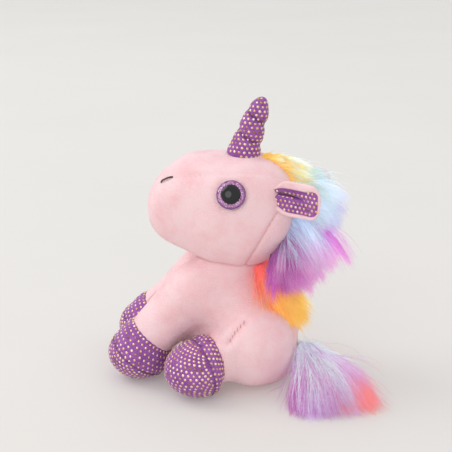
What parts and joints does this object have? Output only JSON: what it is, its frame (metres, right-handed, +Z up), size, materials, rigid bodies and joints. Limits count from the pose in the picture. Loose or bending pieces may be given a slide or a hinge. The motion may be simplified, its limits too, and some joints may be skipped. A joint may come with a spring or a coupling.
{
  "type": "plush unicorn",
  "caption": "Small stuffed toy unicorn sitting upright, with a soft horn, jointed head, legs, ears and tail, foil-dot hooves and long fur mane and tail.",
  "frame": {"origin": "on the table surface under the middle of the whole toy, in its median plane", "axes": "+Z up, the muzzle faces -Y, the toy's own left side is +X"},
  "size_m": [0.137, 0.1848, 0.1867],
  "materials": {
    "pink_fabric": "short brushed pile with a soft sheen",
    "foil_dot_fabric": "knit with a hexagonal pattern of gold foil dots",
    "stuffing": "loose polyester fibre, packed",
    "eye_rim": "gloss",
    "eye_glitter": "glitter film under clear plastic",
    "eye_pupil": "high gloss",
    "eye_washer": "matt",
    "nostril_thread": "stranded cotton",
    "tack_thread": "sewing thread",
    "mane_fur_light": "long silky pile, yellow to pale blue to purple",
    "mane_fur_warm": "long silky pile, coral to orange yellow",
    "tail_fur": "long silky pile, pale blue to orchid to coral",
    "fur_backing": "knitted backing",
    "bag_cloth": "plain weave",
    "pellets": "small rounded beads, packed"
  },
  "bodies": {
    "torso": {"torso_side_left": "pink_fabric", "torso_side_right": "pink_fabric", "torso_belly": "pink_fabric", "torso_base": "pink_fabric", "torso_fill": "stuffing", "pellet_bag": "bag_cloth", "pellet_charge": "pellets", "mane_neck_backing": "fur_backing", "mane_neck_pile": "mane_fur_warm", "hip_stitches": "tack_thread"},
    "neck": {"neck_fill": "stuffing"},
    "head": {"head_side_left": "pink_fabric", "head_side_right": "pink_fabric", "head_gusset": "pink_fabric", "head_back_left": "pink_fabric", "head_back_right": "pink_fabric", "head_fill": "stuffing", "eye_left_post": "eye_rim", "eye_left_glitter": "eye_glitter", "eye_left_dome": "eye_pupil", "eye_left_washer": "eye_washer", "eye_right_post": "eye_rim", "eye_right_glitter": "eye_glitter", "eye_right_dome": "eye_pupil", "eye_right_washer": "eye_washer", "nostril_left": "nostril_thread", "nostril_right": "nostril_thread", "mane_head_backing": "fur_backing", "mane_head_pile": "mane_fur_light"},
    "horn": {"horn_shell": "foil_dot_fabric", "horn_fill": "stuffing"},
    "ear_left": {"ear_left_outer": "pink_fabric", "ear_left_lining": "foil_dot_fabric"},
    "ear_right": {"ear_right_outer": "pink_fabric", "ear_right_lining": "foil_dot_fabric"},
    "foreleg_left": {"foreleg_left_sleeve": "pink_fabric", "foreleg_left_fill": "stuffing", "hoof_fore_left_band": "foil_dot_fabric", "hoof_fore_left_sole": "foil_dot_fabric"},
    "foreleg_right": {"foreleg_right_sleeve": "pink_fabric", "foreleg_right_fill": "stuffing", "hoof_fore_right_band": "foil_dot_fabric", "hoof_fore_right_sole": "foil_dot_fabric"},
    "hindleg_left": {"hindleg_left_sleeve": "pink_fabric", "hindleg_left_fill": "stuffing", "hoof_hind_left_band": "foil_dot_fabric", "hoof_hind_left_sole": "foil_dot_fabric"},
    "hindleg_right": {"hindleg_right_sleeve": "pink_fabric", "hindleg_right_fill": "stuffing", "hoof_hind_right_band": "foil_dot_fabric", "hoof_hind_right_sole": "foil_dot_fabric"},
    "tail_root": {"tail_dock": "fur_backing"},
    "tail": {"tail_backing": "fur_backing", "tail_pile": "tail_fur"}
  },
  "joints": [
    {"name": "head_turn", "type": "hinge", "parent": "torso", "child": "neck", "pos_m": [0, -0.008, 0.092], "axis": [0, 0, 1], "range_deg": [-22, 22], "stiffness_Nm_per_rad": 0.12},
    {"name": "head_nod", "type": "hinge", "parent": "neck", "child": "head", "pos_m": [0, -0.008, 0.092], "axis": [1, 0, 0], "range_deg": [-4, 6], "stiffness_Nm_per_rad": 0.35},
    {"name": "horn_bend", "type": "hinge", "parent": "head", "child": "horn", "pos_m": [0, -0.001, 0.15], "axis": [1, 0, 0], "range_deg": [-8, 8], "stiffness_Nm_per_rad": 0.02},
    {"name": "ear_left_fold", "type": "hinge", "parent": "head", "child": "ear_left", "pos_m": [0.0248, 0.0232, 0.129], "axis": [0, 0, 1], "range_deg": [-25, 0], "stiffness_Nm_per_rad": 0.01},
    {"name": "ear_right_fold", "type": "hinge", "parent": "head", "child": "ear_right", "pos_m": [-0.0248, 0.0232, 0.129], "axis": [0, 0, -1], "range_deg": [-25, 0], "stiffness_Nm_per_rad": 0.01},
    {"name": "foreleg_left_lift", "type": "hinge", "parent": "torso", "child": "foreleg_left", "pos_m": [0.021, -0.031, 0.061], "axis": [-1, 0, 0], "range_deg": [0, 25], "stiffness_Nm_per_rad": 0.06},
    {"name": "foreleg_right_lift", "type": "hinge", "parent": "torso", "child": "foreleg_right", "pos_m": [-0.021, -0.031, 0.061], "axis": [-1, 0, 0], "range_deg": [0, 25], "stiffness_Nm_per_rad": 0.06},
    {"name": "hindleg_left_turn", "type": "hinge", "parent": "torso", "child": "hindleg_left", "pos_m": [0.028, 0.004, 0.025], "axis": [0, 0, 1], "range_deg": [-6, 12], "stiffness_Nm_per_rad": 0.06},
    {"name": "hindleg_right_turn", "type": "hinge", "parent": "torso", "child": "hindleg_right", "pos_m": [-0.028, 0.004, 0.025], "axis": [0, 0, -1], "range_deg": [-6, 12], "stiffness_Nm_per_rad": 0.06},
    {"name": "tail_swing", "type": "hinge", "parent": "torso", "child": "tail_root", "pos_m": [0, 0.0395, 0.017], "axis": [0, 0, -1], "range_deg": [-96, 3]},
    {"name": "tail_lift", "type": "hinge", "parent": "tail_root", "child": "tail", "pos_m": [0, 0.0395, 0.017], "axis": [0.6691, -0.7431, 0], "range_deg": [0, 35], "stiffness_Nm_per_rad": 0.004}
  ]
}
